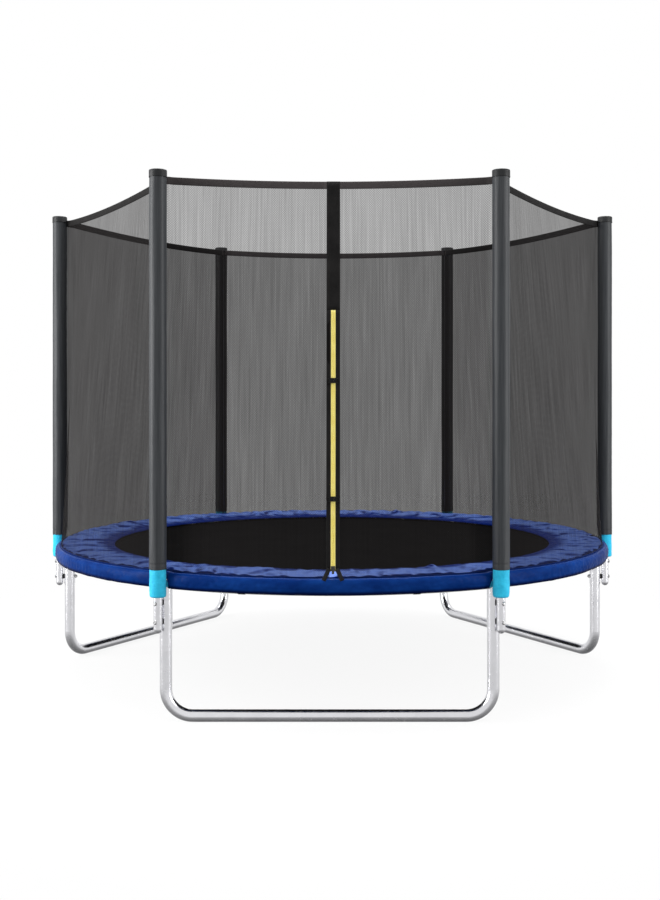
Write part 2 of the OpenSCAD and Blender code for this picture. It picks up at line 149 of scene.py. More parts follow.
def closed_faces(rings, sides):
    """Faces of a closed tube: quads between its rings, and one flat face at each end."""
    faces = grid_faces(rings, sides, False, True).tolist()
    return faces + [list(range(sides)), [rings * sides - 1 - i for i in range(sides)]]


def make_piece(name, points, faces, finish, uv=None, body="frame"):
    """A mesh piece from points and faces, with its material. uv holds one pair for each point, in metres."""
    mesh = bpy.data.meshes.new(name)
    mesh.from_pydata(np.asarray(points, float).reshape(-1, 3).tolist(), [], [list(face) for face in faces])
    mesh.materials.append(finish)
    if uv is not None:
        layer = mesh.uv_layers.new(name="cloth")
        index = np.zeros(len(mesh.loops), np.int32)
        mesh.loops.foreach_get("vertex_index", index)
        layer.data.foreach_set("uv", np.asarray(uv, np.float32).reshape(-1, 2)[index].ravel())
    mesh.polygons.foreach_set("use_smooth", [True] * len(mesh.polygons))
    mesh.update()
    piece = bpy.data.objects.new(name, mesh)
    bpy.context.scene.collection.objects.link(piece)
    if body:
        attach(piece, body)
    return piece


def ring_angles(sides):
    return np.linspace(0, TAU, sides, endpoint=False)


def run_along(line):
    """The distance along a line to each of its points."""
    return np.cumsum(np.linalg.norm(np.diff(line, axis=0, prepend=line[:1]), axis=1))


def turn(points, angle):
    """Points turned about the vertical axis."""
    c, s = math.cos(angle), math.sin(angle)
    points = np.asarray(points, float)
    x, y = points[..., 0], points[..., 1]
    return stacked(c * x - s * y, s * x + c * y, points[..., 2])


def frames_along(path):
    """Two side directions at each point of a path, with no twist between them."""
    tangent = np.gradient(path, axis=0)
    tangent /= np.linalg.norm(tangent, axis=1)[:, None]
    side = np.zeros_like(path)
    start = np.array([0, 0, 1.0]) if abs(tangent[0][2]) < 0.9 else np.array([1.0, 0, 0])
    for k, t in enumerate(tangent):
        start = start - (start @ t) * t
        start = start / np.linalg.norm(start)
        side[k] = start
    return side, np.cross(tangent, side)


def tube(path, radius, sides, closed_path=False):
    """Points and faces of a round tube along a path."""
    path = np.asarray(path, float)
    side, other = frames_along(path)
    angle = ring_angles(sides)[None, :, None]
    points = path[:, None] + radius * (side[:, None] * np.cos(angle) + other[:, None] * np.sin(angle))
    faces = grid_faces(len(path), sides, True, True) if closed_path else closed_faces(len(path), sides)
    return points.reshape(-1, 3), faces


def join(parts):
    """Several (points, faces) as one."""
    points, faces, count = [], [], 0
    for part_points, part_faces in parts:
        points.append(np.asarray(part_points, float).reshape(-1, 3))
        faces += [[v + count for v in face] for face in part_faces]
        count += len(points[-1])
    return np.concatenate(points), faces


def join_cloth(parts):
    """Several (points, faces, uv) as one."""
    points, faces = join([(part_points, part_faces) for part_points, part_faces, _ in parts])
    return points, faces, np.concatenate([np.reshape(uv, (-1, 2)) for _, _, uv in parts])


def at_bearings(points, faces, bearings=POLE_BEARINGS):
    """The same points and faces once at each bearing round the centre."""
    return join([(turn(points, bearing), faces) for bearing in bearings])


def round_centre(r, angle, z):
    """Points at a radius, bearing and height from the model's centre."""
    return stacked(r * np.cos(angle), r * np.sin(angle), z)


def offsets(x, z, steps):
    """The points that lie these steps away from one place of a profile."""
    return [(x + dx, z + dz) for dx, dz in steps]


def pucker(points, faces, pins, growth, frames, reach):
    """The points after Blender's cloth has let the skin grow and pucker between its held points.

    pins holds one weight for each point, and reach is how far a point may move.
    """
    mesh = bpy.data.meshes.new("loose_skin")
    mesh.from_pydata(points.reshape(-1, 3).tolist(), [], [list(face) for face in faces])
    skin = bpy.data.objects.new("loose_skin", mesh)
    scene = bpy.context.scene
    scene.collection.objects.link(skin)
    group = skin.vertex_groups.new(name="pins")
    for weight in np.unique(pins):
        group.add(np.flatnonzero(pins == weight).tolist(), float(weight), "REPLACE")
    cloth = skin.modifiers.new("cloth", "CLOTH")
    cloth.point_cache.frame_start = 1
    cloth.point_cache.frame_end = frames
    settings = {
        "quality": 4, "mass": 0.25, "tension_stiffness": 20, "compression_stiffness": 20, "shear_stiffness": 10,
        "bending_stiffness": 1.2, "air_damping": 3, "shrink_min": -growth, "vertex_group_mass": "pins",
    }
    for key, value in settings.items():
        setattr(cloth.settings, key, value)
    cloth.settings.effector_weights.gravity = 0
    for number in range(1, frames + 1):
        scene.frame_set(number)
    settled = skin.evaluated_get(bpy.context.evaluated_depsgraph_get())
    moved = np.zeros(len(mesh.vertices) * 3, np.float32)
    settled.data.vertices.foreach_get("co", moved)
    scene.frame_set(1)
    bpy.data.objects.remove(skin)
    bpy.data.meshes.remove(mesh)
    shift = moved.reshape(points.shape) - points
    size = np.linalg.norm(shift, axis=-1, keepdims=True)
    return points + shift * np.minimum(1, reach / np.maximum(size, 1e-9))


# ---- materials
WAVE = TAU / 20  # a wave texture of scale WAVE / p repeats every p metres
STITCH = 0.0075  # from one stitch of a seam to the next
MESH = 0.0062  # from one hole of the net to the next


class Finish:
    """A Principled material, with short ways to add nodes to it."""

    def __init__(self, name, **constants):
        self.material = bpy.data.materials.new(name)
        self.material.use_nodes = True
        self.tree = self.material.node_tree
        self.shader = self.tree.nodes["Principled BSDF"]
        self.relief = None
        for socket, value in constants.items():
            self.shader.inputs[socket.replace("_", " ")].default_value = value

    def add(self, kind, inputs=None, **settings):
        node = self.tree.nodes.new("ShaderNode" + kind)
        for key, value in settings.items():
            setattr(node, key, value)
        for key, value in (inputs or {}).items():
            if isinstance(value, bpy.types.NodeSocket):
                self.tree.links.new(value, node.inputs[key])
            else:
                node.inputs[key].default_value = value
        return node

    def link(self, output, socket):
        self.tree.links.new(output, self.shader.inputs[socket])

    def place(self, scale=(1, 1, 1), kind="Object"):
        source = self.add("TexCoord").outputs[kind]
        return self.add("Mapping", {"Vector": source, "Scale": scale}).outputs[0]

    def axis(self, where, letter):
        return self.add("SeparateXYZ", {"Vector": where}).outputs[letter]

    def noise(self, where, scale, detail=3.0, roughness=0.5, distortion=0.0):
        return self.add("TexNoise", {
            "Vector": where, "Scale": scale, "Detail": detail, "Roughness": roughness, "Distortion": distortion,
        }).outputs["Fac"]

    def wave(self, where, scale, direction, distortion=0.0):
        inputs = {"Vector": where, "Scale": scale, "Distortion": distortion}
        return self.add("TexWave", inputs, bands_direction=direction).outputs["Fac"]

    def weave(self, where, scale):
        """Yarns that cross, one set along X and one along Y."""
        return self.product(self.wave(where, scale, "X"), self.wave(where, scale, "Y"))

    def cells(self, where, scale):
        return self.add("TexVoronoi", {"Vector": where, "Scale": scale}).outputs["Distance"]

    def maths(self, operation, a, b=0.0):
        return self.add("Math", {0: a, 1: b}, operation=operation).outputs[0]

    def product(self, a, b):
        return self.maths("MULTIPLY", a, b)

    def apart(self, a, b):
        return self.maths("ABSOLUTE", self.maths("SUBTRACT", a, b))

    def spread(self, value, low, high, from_low=0.0, from_high=1.0):
        """value, from one range to another."""
        inputs = {"Value": value, "From Min": from_low, "From Max": from_high, "To Min": low, "To Max": high}
        return self.add("MapRange", inputs).outputs[0]

    def blend(self, share, a, b):
        node = self.add("Mix", data_type="RGBA")
        self.tree.links.new(share, node.inputs[0])
        for socket, value in ((6, a), (7, b)):
            if isinstance(value, bpy.types.NodeSocket):
                self.tree.links.new(value, node.inputs[socket])
            else:
                node.inputs[socket].default_value = (*value, 1)
        return node.outputs[2]

    def mottle(self, noise, a, b):
        """Two colours, mixed by a noise, most of which lies between 0.3 and 0.7."""
        return self.blend(self.spread(noise, 0, 1, 0.3, 0.7), a, b)

    def bump(self, height, strength, distance):
        """Relief from a height, on top of any relief that the surface has already."""
        inputs = {"Height": height, "Strength": strength, "Distance": distance}
        if self.relief is not None:
            inputs["Normal"] = self.relief
        self.relief = self.add("Bump", inputs).outputs[0]
        self.link(self.relief, "Normal")

    def part_clear(self, share, clear_side):
        """Mixes the surface with a clear one, which shows at share 0 on side 1, or at share 1 on side 2."""
        clear = self.add("BsdfTransparent").outputs[0]
        both = self.add("MixShader", {0: share, clear_side: clear, 3 - clear_side: self.shader.outputs[0]})
        self.tree.links.new(both.outputs[0], self.tree.nodes["Material Output"].inputs["Surface"])


def steel_finish(name, pale, dark, rough_low, rough_high):
    """Zinc-coated tube: faint spangle, a soft uneven relief and uneven shine."""
    f = Finish(name, Metallic=1.0)
    where = f.place()
    cloudy = f.noise(where, 9.0, 4.0, 0.6)
    f.link(f.mottle(cloudy, dark, pale), "Base Color")
    f.link(f.spread(f.noise(where, 85.0), rough_low, rough_high, 0.3, 0.7), "Roughness")
    f.bump(f.cells(where, 140.0), 0.10, 0.0006)
    f.bump(f.noise(where, 26.0, 2.0), 0.12, 0.0015)
    return f.material


def plastic_finish(name, dark, pale, rough, shine):
    """Moulded plastic with a fine grain."""
    f = Finish(name, Specular_IOR_Level=shine)
    where = f.place()
    f.link(f.blend(f.noise(where, 30.0), dark, pale), "Base Color")
    f.link(f.spread(f.noise(where, 60.0), rough - 0.06, rough + 0.08), "Roughness")
    f.bump(f.noise(where, 900.0, 2.0), 0.25, 0.0004)
    return f.material


def foam_finish(name):
    """Closed-cell foam: small pitted cells and a slightly mottled colour."""
    f = Finish(name, Roughness=0.62, Specular_IOR_Level=0.25, Sheen_Weight=0.08)
    where = f.place()
    cells = f.cells(where, 230.0)
    broad = f.noise(where, 45.0, 4.0)
    base = f.mottle(broad, (0.010, 0.42, 0.66), (0.028, 0.56, 0.82))
    f.link(f.blend(f.spread(cells, 0, 0.35, 0.35, 0.8), base, (0.007, 0.31, 0.52)), "Base Color")
    f.bump(cells, 0.55, 0.0012)
    f.bump(broad, 0.45, 0.003)
    return f.material


def sleeve_finish(name):
    """Coated polyester sleeve: fine plain weave under a satin coating, which creases lengthwise."""
    f = Finish(name, Coat_Weight=0.08, Coat_Roughness=0.46, Specular_IOR_Level=0.26)
    where = f.place(kind="UV")
    weave = f.weave(where, 160.0)
    streaks = f.noise(f.place((70, 2.5, 1), "UV"), 2.0)
    shade = f.mottle(streaks, (0.022, 0.0245, 0.028), (0.038, 0.041, 0.045))
    f.link(f.blend(f.spread(weave, 0, 0.25), shade, (0.012, 0.014, 0.016)), "Base Color")
    f.link(f.spread(streaks, 0.42, 0.54), "Roughness")
    f.bump(weave, 0.18, 0.0003)
    f.bump(streaks, 0.30, 0.0014)
    return f.material


def webbing_finish(name, dark, pale, painted_light_tone=None):
    """Woven webbing: ribs across it and a darker line between the yarns.

    The last argument, if given, is painted light: a paler colour painted on the stretches at the very front and
    back of the net's hem.
    """
    f = Finish(name, Roughness=0.75, Specular_IOR_Level=0.10, Sheen_Weight=0.02)
    where = f.place(kind="UV")
    weave = f.product(f.wave(where, 260.0, "Y"), f.wave(where, 156.0, "X", 0.5))
    shade = f.mottle(f.noise(where, 14.0), dark, pale)
    base = f.blend(f.spread(weave, 0.0, 0.5), shade, dark)
    if painted_light_tone:
        # painted light: the stretches at the very front and back are painted paler
        forward = f.apart(f.axis(f.place(), "Y"), 0.0)
        base = f.blend(f.spread(forward, 0, 1, 1.030, 1.042), base, painted_light_tone)
    f.link(base, "Base Color")
    f.bump(weave, 0.5, 0.0006)
    return f.material


def mat_finish(name):
    """Black woven polypropylene, with its yarns crossing and a little dust."""
    f = Finish(name, Roughness=0.85, Specular_IOR_Level=0.03)
    where = f.place()
    yarns = f.weave(where, 110.0)
    dust = f.noise(where, 6.0, 5.0, 0.6)
    shade = f.blend(f.spread(dust, 0, 1, 0.35, 0.75), (0.0032, 0.0032, 0.0034), (0.0060, 0.0058, 0.0057))
    f.link(f.blend(f.spread(yarns, 0, 0.5), shade, (0.0022, 0.0022, 0.0023)), "Base Color")
    f.bump(yarns, 0.4, 0.0008)
    return f.material


def pad_finish(name, seam_at, hem_at):
    """Coated blue cover. A painted reflection of the sky makes it paler where it faces up, and its creases and
    inner edge keep the navy; painted shade makes it darker navy in its seam, and dark at its hem.

    seam_at and hem_at are distances along the cover from its inner edge, which UV's second number holds.
    """
    f = Finish(name, Coat_Roughness=0.27)
    where = f.place()
    cloth = f.place(kind="UV")
    creases = f.noise(where, 30.0, 6.0, 0.65, 1.4)
    patches = f.noise(f.place((1, 1, 3)), 7.0, 4.0, 0.6)
    facing = f.axis(f.add("NewGeometry").outputs["Normal"], "Z")
    along = f.axis(cloth, "Y")

    # painted reflection: the pale violet blue of the top stands in for the sky that the coating reflects
    painted_light_tone = f.blend(f.spread(creases, 0, 1, 0.35, 0.68), (0.095, 0.235, 0.92), (0.21, 0.38, 1.0))
    # the painted reflection shows where the skin faces up, away from its inner edge; elsewhere the cover keeps
    # its own navy
    slope = f.spread(facing, 0, 1, 0.925, 0.995)
    shown = f.product(slope, f.spread(along, 0.07, 1, 0.045, 0.095))
    top = f.blend(shown, (0.0012, 0.020, 0.200), painted_light_tone)
    skirt = f.blend(f.spread(patches, 0, 1, 0.42, 0.72), (0.0014, 0.018, 0.115), (0.004, 0.036, 0.19))
    outer = f.spread(along, 0, 1, seam_at - 0.002, seam_at + 0.012)
    base = f.blend(outer, top, skirt)
    from_seam = f.apart(along, seam_at)
    # painted shade: darker navy in the seam's groove
    base = f.blend(f.spread(from_seam, 1, 0, 0.004, 0.013), base, (0.0008, 0.014, 0.110))
    # painted shade: dark at the hem, where it turns in under the skirt
    base = f.blend(f.spread(f.apart(along, hem_at), 1, 0, 0.007, 0.016), base, (0.0006, 0.004, 0.034))
    dashes = f.spread(f.wave(cloth, WAVE / STITCH, "X"), 0, 1, 0.42, 0.52)
    stitches = f.product(f.spread(f.apart(from_seam, 0.0125), 1, 0, 0.0006, 0.0010), dashes)
    base = f.blend(stitches, base, (0.03, 0.09, 0.36))
    f.link(base, "Base Color")
    gloss = f.spread(shown, 0.10, 1)
    f.link(f.product(gloss, f.spread(outer, 0.44, 0.15)), "Coat Weight")
    f.link(f.product(gloss, f.spread(outer, 0.28, 0.16)), "Specular IOR Level")
    f.link(f.spread(creases, 0.26, 0.42, 0.3, 0.7), "Roughness")
    f.bump(creases, f.spread(outer, 0.55, 0.22), 0.005)
    f.bump(f.weave(cloth, 130.0), 0.12, 0.0004)
    return f.material


def net_finish(name, cover_low, cover_high):
    """Knitted black mesh with diamond holes, through which the surface is clear.

    cover_low is how much of it is solid at a hole's middle, and cover_high on a thread.
    """
    f = Finish(name, Base_Color=(0.0065, 0.0055, 0.0055, 1), Roughness=0.8, Specular_IOR_Level=0.04)
    where = f.add("VectorRotate", {"Vector": f.place(kind="UV"), "Angle": math.radians(45)}).outputs[0]
    thread = f.maths("MAXIMUM", f.wave(where, WAVE / MESH, "X"), f.wave(where, WAVE / MESH, "Y"))
    streaks = f.noise(f.place((120, 2.2, 1), "UV"), 1.0, 4.0, 0.65)
    clouds = f.noise(f.place((9, 1.2, 1), "UV"), 1.0)
    cover = f.spread(thread, cover_low, cover_high, 0.2, 1.0)
    for uneven, most in ((streaks, 0.07), (clouds, 0.02)):
        cover = f.maths("ADD", cover, f.spread(uneven, -most, most, 0.3, 0.7))
    f.bump(thread, 0.3, 0.0008)
    f.part_clear(cover, 1)
    return f.material


def zip_finish(name, yellow_half):
    """Yellow zip tape: fine woven ribs, and a black woven edge on each side."""
    f = Finish(name, Roughness=0.6, Sheen_Weight=0.1)
    where = f.place(kind="UV")
    ribs = f.wave(where, 300.0, "Y")
    base = f.mottle(f.noise(where, 30.0), (0.86, 0.72, 0.16), (0.93, 0.82, 0.24))
    base = f.blend(f.spread(ribs, 0, 0.35), base, (0.62, 0.50, 0.09))
    edge = f.spread(f.apart(f.axis(where, "X"), 0.0), 0, 1, yellow_half, yellow_half + 0.0004)
    f.link(f.blend(edge, base, (0.007, 0.0065, 0.006)), "Base Color")
    f.bump(ribs, 0.4, 0.0004)
    return f.material


galvanised = steel_finish("galvanised_tube", (0.88, 0.88, 0.91), (0.78, 0.78, 0.81), 0.17, 0.28)
zinc = steel_finish("zinc_hardware", (0.66, 0.66, 0.66), (0.50, 0.50, 0.51), 0.22, 0.36)
spring_steel = steel_finish("spring_steel", (0.62, 0.62, 0.63), (0.48, 0.48, 0.50), 0.22, 0.34)
foam_blue = foam_finish("cyan_foam")
sleeve_grey = sleeve_finish("grey_sleeve")
net_front = net_finish("net_mesh", 0.50, 0.675)
net_side = net_finish("net_mesh_close", 0.63, 0.795)
cap_plastic = plastic_finish("black_plastic", (0.007, 0.0078, 0.0085), (0.014, 0.0148, 0.016), 0.46, 0.24)
buckle_plastic = plastic_finish("buckle_plastic", (0.0025, 0.0025, 0.003), (0.006, 0.006, 0.0065), 0.42, 0.16)
mat_black = mat_finish("mat_fabric")
webbing = webbing_finish("black_webbing", (0.0045, 0.0042, 0.0042), (0.0115, 0.0105, 0.0105))
# the net's hem, with painted light that makes its front and back paler
net_hem = webbing_finish("net_hem", (0.0040, 0.0036, 0.0036), (0.0095, 0.0086, 0.0086),
                         painted_light_tone=(0.046, 0.0405, 0.041))
# the net's low binding is a dark cord, coloured navy as painted shade of the pad's groove that it lies in
navy_cord = webbing_finish("navy_cord", (0.0007, 0.006, 0.045), (0.0014, 0.012, 0.080))
zip_yellow = zip_finish("yellow_zip", 0.0079)
zip_metal = steel_finish("zip_metal", (0.10, 0.10, 0.10), (0.05, 0.05, 0.05), 0.30, 0.45)

# the CAD nodes that are shown as they are: slot, finish and how their names start
CARRIED = {
    "galvanised_tube": (galvanised, ("top_rail_", "leg_base_", "pole_lower_", "pole_upper_")),
    "zinc_hardware": (zinc, ("pole_bolts", "pole_nuts")),
    "black_plastic": (cap_plastic, ("pole_spacers",)),
    "buckle_plastic": (buckle_plastic, ("buckle_",)),
    "zip_metal": (zip_metal, ("zip_slider", "zip_pull")),
}
for slot_name, (finish, prefixes) in CARRIED.items():
    for node_name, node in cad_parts.items():
        if node_name.startswith(prefixes):
            node.data.materials.clear()
            node.data.materials.append(finish)


# ---- foam and sleeves on the poles
def round_shell(outer, inner, sides):
    """A closed tube round the first pole from rows of (radius, height), outer rows first and then inner ones."""
    rows = np.array(outer + inner)
    angle = ring_angles(sides)
    return stacked(POLE_R + rows[:, :1] * np.cos(angle), rows[:, :1] * np.sin(angle), rows[:, 1:])


def swell(points, amount):
    """Moves each point of a shell away from the pole's axis by its amount."""
    out = points[..., :2] - np.array([POLE_R, 0])
    points[..., :2] += out / np.linalg.norm(out, axis=-1)[..., None] * amount[..., None]


def make_foam(k):
    """Foam tube: a little fuller at its lower end, with a rounded rim and a bore for the pole."""
    low, high = foam_low.z, foam_high.z
    sides, bore = 48, (pole_high.y - pole_low.y) / 2 + 0.0004
    heights = np.concatenate([low + np.linspace(0.006, 0.14, 24), np.linspace(low + 0.16, high, 40)])
    outer = offsets(FOAM_R, low, [(-0.009, 0), (-0.004, 0.0006), (-0.0012, 0.0024)])
    outer += [(FOAM_R, z) for z in heights]
    inner = [(bore, high), (bore, low + 0.002), (bore + 0.004, low)]
    points = round_shell(outer, inner, sides)
    z = points[..., 2]
    height = np.clip((z - low) / (high - low), 0, 1)
    bulge = 0.0011 * np.exp(-((z - low - 0.030) / 0.022) ** 2)
    uneven = 0.0009 * lattice_noise(np.linspace(0, 1, sides, endpoint=False), height, 5, 60, 31 + k)
    under = smooth_step(sleeve_low.z, sleeve_low.z + 0.004, z)
    bulge, uneven = bulge * (1 - under), uneven * (1 - under) - 0.0012 * under
    on_outside = np.arange(len(points)) < len(outer)
    swell(points, (bulge + uneven - 0.0010) * on_outside[:, None])
    faces = grid_faces(len(points), sides, True, True)
    piece = make_piece(f"foam_{PLACES[k]}", turn(points, STEP * k), faces, foam_blue)
    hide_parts(f"pole_foam_{PLACES[k]}")


def make_sleeve(k):
    """Fabric sleeve over the foam: long soft creases, a seam on the inner side and a turned hem."""
    low, high = sleeve_low.z, sleeve_high.z
    sides = 72
    heights = np.concatenate([
        low + np.array([0.0, 0.0015, 0.004, 0.010, 0.018, 0.0225, 0.024, 0.0255, 0.030]),
        np.linspace(low + 0.040, high, 96),
    ])
    outer = [(SLEEVE_R, z) for z in heights]
    inner = [(SLEEVE_R - 0.0014, high), (SLEEVE_R - 0.0014, low + 0.002), (SLEEVE_R - 0.0008, low)]
    points = round_shell(outer, inner, sides)
    z = points[..., 2]
    angle = np.linspace(0, 1, sides, endpoint=False)
    height = (z - low) / (high - low)
    creases = lattice_noise(angle, height, 11, 5, 51 + k) + 0.5 * lattice_noise(angle, height, 23, 9, 71 + k)
    ripples = lattice_noise(angle, height, 7, 70, 91 + k)
    near_hem = np.exp(-((z - low) / 0.06) ** 2)
    shape = 0.0007 * creases + 0.0003 * ripples + 0.0006 * near_hem * np.sin(angle * TAU * 9 + k)
    stitch_row = 0.0007 * np.exp(-((z - low - 0.0225) / 0.0012) ** 2)
    seam = 0.0012 * np.exp(-((angle - 0.5) * TAU * SLEEVE_R / 0.0025) ** 2)
    swell(points, shape - stitch_row + seam - 0.0010)
    uv = stacked(angle * TAU * SLEEVE_R, z)
    faces = grid_faces(len(points), sides, True, True)
    piece = make_piece(f"sleeve_{PLACES[k]}", turn(points, STEP * k), faces, sleeve_grey, uv)
    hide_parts(f"pole_sleeve_{PLACES[k]}")


def make_caps():
    """Caps: a smooth cup over each sleeve's end, with a domed top and a small lip."""
    low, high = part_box("pole_caps")
    cup, sides = SLEEVE_R + 0.0007, 64
    outer = offsets(cup, low.z, [(-0.0007, 0), (0, 0.0007), (0, 0.0030), (-0.0003, 0.0042)])
    outer += offsets(cup, high.z, [(-0.0003, -0.0050), (-0.0014, -0.0022), (-0.0042, -0.0007)])
    outer += [(cup * share, high.z - 0.0004 * share) for share in (0.6, 0.3, 0.02)]
    inner = [(0.0006, high.z - 0.0020), (SLEEVE_R, high.z - 0.0026), (SLEEVE_R, low.z + 0.0004)]
    shell = round_shell(outer, inner, sides)
    points, faces = at_bearings(shell, grid_faces(len(shell), sides, True, True).tolist())
    piece = make_piece("sleeve_caps", points, faces, cap_plastic)
    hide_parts("pole_caps")


for pole in range(6):
    make_foam(pole)
    make_sleeve(pole)
make_caps()


# ---- jumping mat, hem, rings and springs
def make_mat():
    """Mat: one round sheet of woven cloth, pulled tight, with very slight ripples near the edge."""
    rings, sides, thick = 60, 240, mat_high.z - mat_low.z
    r = MAT_R * np.linspace(0.001, 1, rings) ** 0.9
    angle = ring_angles(sides)
    share, out = angle / TAU, (r / MAT_R)[:, None]
    ripple = lattice_noise(share, out, 48, 6, 5) * out**6 + 0.6 * lattice_noise(share, out, 9, 5, 6)
    top = round_centre(r[:, None], angle, mat_high.z - 0.0011 + 0.0008 * ripple)
    low = top.copy()[::-1]
    low[..., 2] -= thick - 0.0014
    points = np.concatenate([top, low]).reshape(-1, 3)
    faces = grid_faces(2 * rings, sides, False, True).tolist()
    faces.append(list(range(sides))[::-1])
    faces.append([len(points) - sides + i for i in range(sides)])
    piece = make_piece("mat_cloth", points, faces, mat_black, body="mat")
    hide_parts("jumping_mat")


def make_hem():
    """Hem: folded webbing round the mat, with a pocket bulge where each ring is sewn in."""
    inner_r, outer_r = MAT_R - 0.012, hem_high.x
    low, high = hem_low.z, hem_high.z
    profile = np.array([
        (inner_r, high - 0.0005), (inner_r + 0.002, high), (MAT_R + 0.014, high - 0.0002),
        (MAT_R + 0.018, high - 0.0012), (MAT_R + 0.022, high - 0.0002), (outer_r - 0.006, high - 0.0004),
        (outer_r - 0.001, high - 0.002), (outer_r, (low + high) / 2), (outer_r - 0.001, low + 0.002),
        (outer_r - 0.006, low + 0.0004), (MAT_R + 0.020, low + 0.0004), (inner_r + 0.001, high - 0.004),
    ])
    sides = 720
    angle = ring_angles(sides)
    pocket = 0.5 + 0.5 * np.cos((angle - STEP / 16) * 48)
    r = profile[:, :1]
    z = profile[:, 1:] + 0.0006 * (r > MAT_R + 0.02) * (pocket**4 - 0.6)
    points, faces = round_centre(r, angle, z), grid_faces(len(profile), sides, True, True)
    piece = make_piece("hem_webbing", points, faces, mat_black, stacked(angle * MAT_R, r), "mat")
    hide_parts("mat_hem")


SPRINGS = 48
SPRING_BEARINGS = [TAU * (i + 0.5) / SPRINGS - STEP / 2 for i in range(SPRINGS)]
WIRE_R = 0.0016
# where a spring's hooks turn over its ring and into the rail: distance from the centre, and height
RING_X, RING_Z = MAT_R + 0.068, RAIL_Z + 0.0195
RAIL_HOOK_X, RAIL_HOOK_Z = RAIL_R - 0.017, RAIL_Z + 0.017


def make_rings():
    """Rings: triangles of round wire, sewn into the hem, that the springs hook into."""
    base_x, tip_x = MAT_R + 0.030, RING_X + 0.001
    corners = [(base_x, -0.014), (tip_x, -0.0045), (tip_x, 0.0045), (base_x, 0.014)]
    outline, corner_r = [], 0.004
    for k, (x, y) in enumerate(corners):
        for other in (corners[k - 1], corners[(k + 1) % 4]):
            d = np.array(other) - (x, y)
            outline.append(np.array([x, y]) + d / np.linalg.norm(d) * corner_r)
        outline.insert(-1, (outline[-2] + outline[-1] + 2 * np.array([x, y])) / 4)
    path = np.array([(x, y, RING_Z) for x, y in outline])
    points, faces = at_bearings(*tube(path, WIRE_R + 0.0003, 8, True), SPRING_BEARINGS)
    piece = make_piece("mat_v_rings", points, faces, spring_steel, body="mat")
    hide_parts("mat_rings")


def spring_path():
    """The wire of one spring in the plane y = 0: a hook in the ring, close coils, and a hook into the rail."""
    ring_bend, rail_bend, coil_r = 0.0055, 0.009, 0.0104
    start_x, end_x, z = MAT_R + 0.078, RAIL_HOOK_X - 0.017, RAIL_Z + 0.014
    turns = int((end_x - start_x) / (2 * WIRE_R + 0.0003))
    angle = np.linspace(0, TAU * turns, turns * 14 + 1)
    taper = np.minimum(1, np.minimum(angle, angle[-1] - angle) / (TAU * 2.5) * 0.7 + 0.3)
    x = np.linspace(start_x, end_x, len(angle))
    coil = stacked(x, -coil_r * taper * np.sin(angle), z - coil_r * taper * np.cos(angle))
    bend = np.linspace(math.radians(150), math.radians(-60), 12)
    ring_hook = stacked(RING_X - ring_bend * np.sin(bend), 0, RING_Z + ring_bend * np.cos(bend))
    arc = np.linspace(math.pi, 0, 14)
    rail_hook = stacked(RAIL_HOOK_X + rail_bend * np.cos(arc), 0, RAIL_HOOK_Z + rail_bend * np.sin(arc))
    tail = [(RAIL_HOOK_X + rail_bend, 0, RAIL_HOOK_Z - 0.008)]
    return np.concatenate([ring_hook, coil, rail_hook, tail])


def make_springs():
    """Springs: each is one piece that stretches between the rail and the mat."""
    points, faces = tube(spring_path(), WIRE_R, 7)
    for i, angle in enumerate(SPRING_BEARINGS):
        turned = turn(points, angle)
        piece = make_piece(f"spring_{i + 1:02d}", turned, faces, spring_steel, body=None)
        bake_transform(piece)
        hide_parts("springs")


make_mat()
make_hem()
make_rings()
make_springs()


# ---- safety pad
PAD_SIDES = 720
TOP_ROWS = 21
GROOVE_R = PAD_OUT - 0.024
# radius from the centre and height of the pad's skin, from its inner lower edge to the skirt's hem
PAD_PROFILE = np.array([
    (PAD_IN, PAD_BOTTOM - 0.0025),
    *offsets(PAD_IN, PAD_TOP, [(-0.0005, -0.0148), (0.002, -0.0116), (0.008, -0.0092)]),
    *[(r, PAD_TOP - 0.0105 * (1 - min(1, (r - PAD_IN) / 0.085)) ** 2)
      for r in np.linspace(PAD_IN + 0.018, GROOVE_R - 0.016, TOP_ROWS)],
    *offsets(GROOVE_R, PAD_TOP, [
        (-0.009, -0.0006), (-0.0045, -0.0026), (-0.0022, -0.0060), (0, -0.0085),
        (0.004, -0.0078), (0.010, -0.0074), (0.017, -0.0098), (0.0215, -0.0155),
    ]),
    *offsets(PAD_OUT, PAD_TOP, [(0, -0.0235), (0.001, -0.032), (0.001, -0.040), (0, -0.048), (-0.001, -0.055)]),
    *offsets(PAD_OUT, SKIRT_LOW, [(-0.0025, 0.004), (-0.0045, 0)]),
])
GROOVE_ROW = 4 + TOP_ROWS + 3
PAD_RUN = run_along(PAD_PROFILE)
# bearings of the places where the pad's sections meet and its cover is folded, in degrees
FOLDS_AT = [34, 75, 106, 155, 193, 250, 291, 353]
pad_blue = pad_finish("blue_pad", PAD_RUN[GROOVE_ROW], PAD_RUN[-1])
# each fold's ridges: how far out they lie across the pad, as a share, and their half width and height
FOLD_RIDGES = [(0.26, 0.020, 0.0100), (0.50, 0.024, 0.0085), (0.70, 0.022, 0.0110)]


def pad_grid():
    """The skin before it puckers, with the notch that each pole needs in its outer edge."""
    angle = ring_angles(PAD_SIDES)
    from_pole = (angle + STEP / 2) % STEP - STEP / 2
    notch = 0.01875 * np.cos(np.clip(from_pole * POLE_R / 0.048, -1, 1) * math.pi / 2) ** 2
    r = PAD_PROFILE[:, :1]
    r = r - notch * smooth_step(PAD_OUT - 0.075, PAD_OUT - 0.030, r)
    return round_centre(r, angle, PAD_PROFILE[:, 1:]), angle, r


def grid_normals(points):
    """The upward or outward direction of the skin at each of its points."""
    along = np.roll(points, -1, 1) - np.roll(points, 1, 1)
    across = np.gradient(points, axis=0)
    normal = np.cross(along, across)
    return -normal / np.linalg.norm(normal, axis=-1)[..., None]


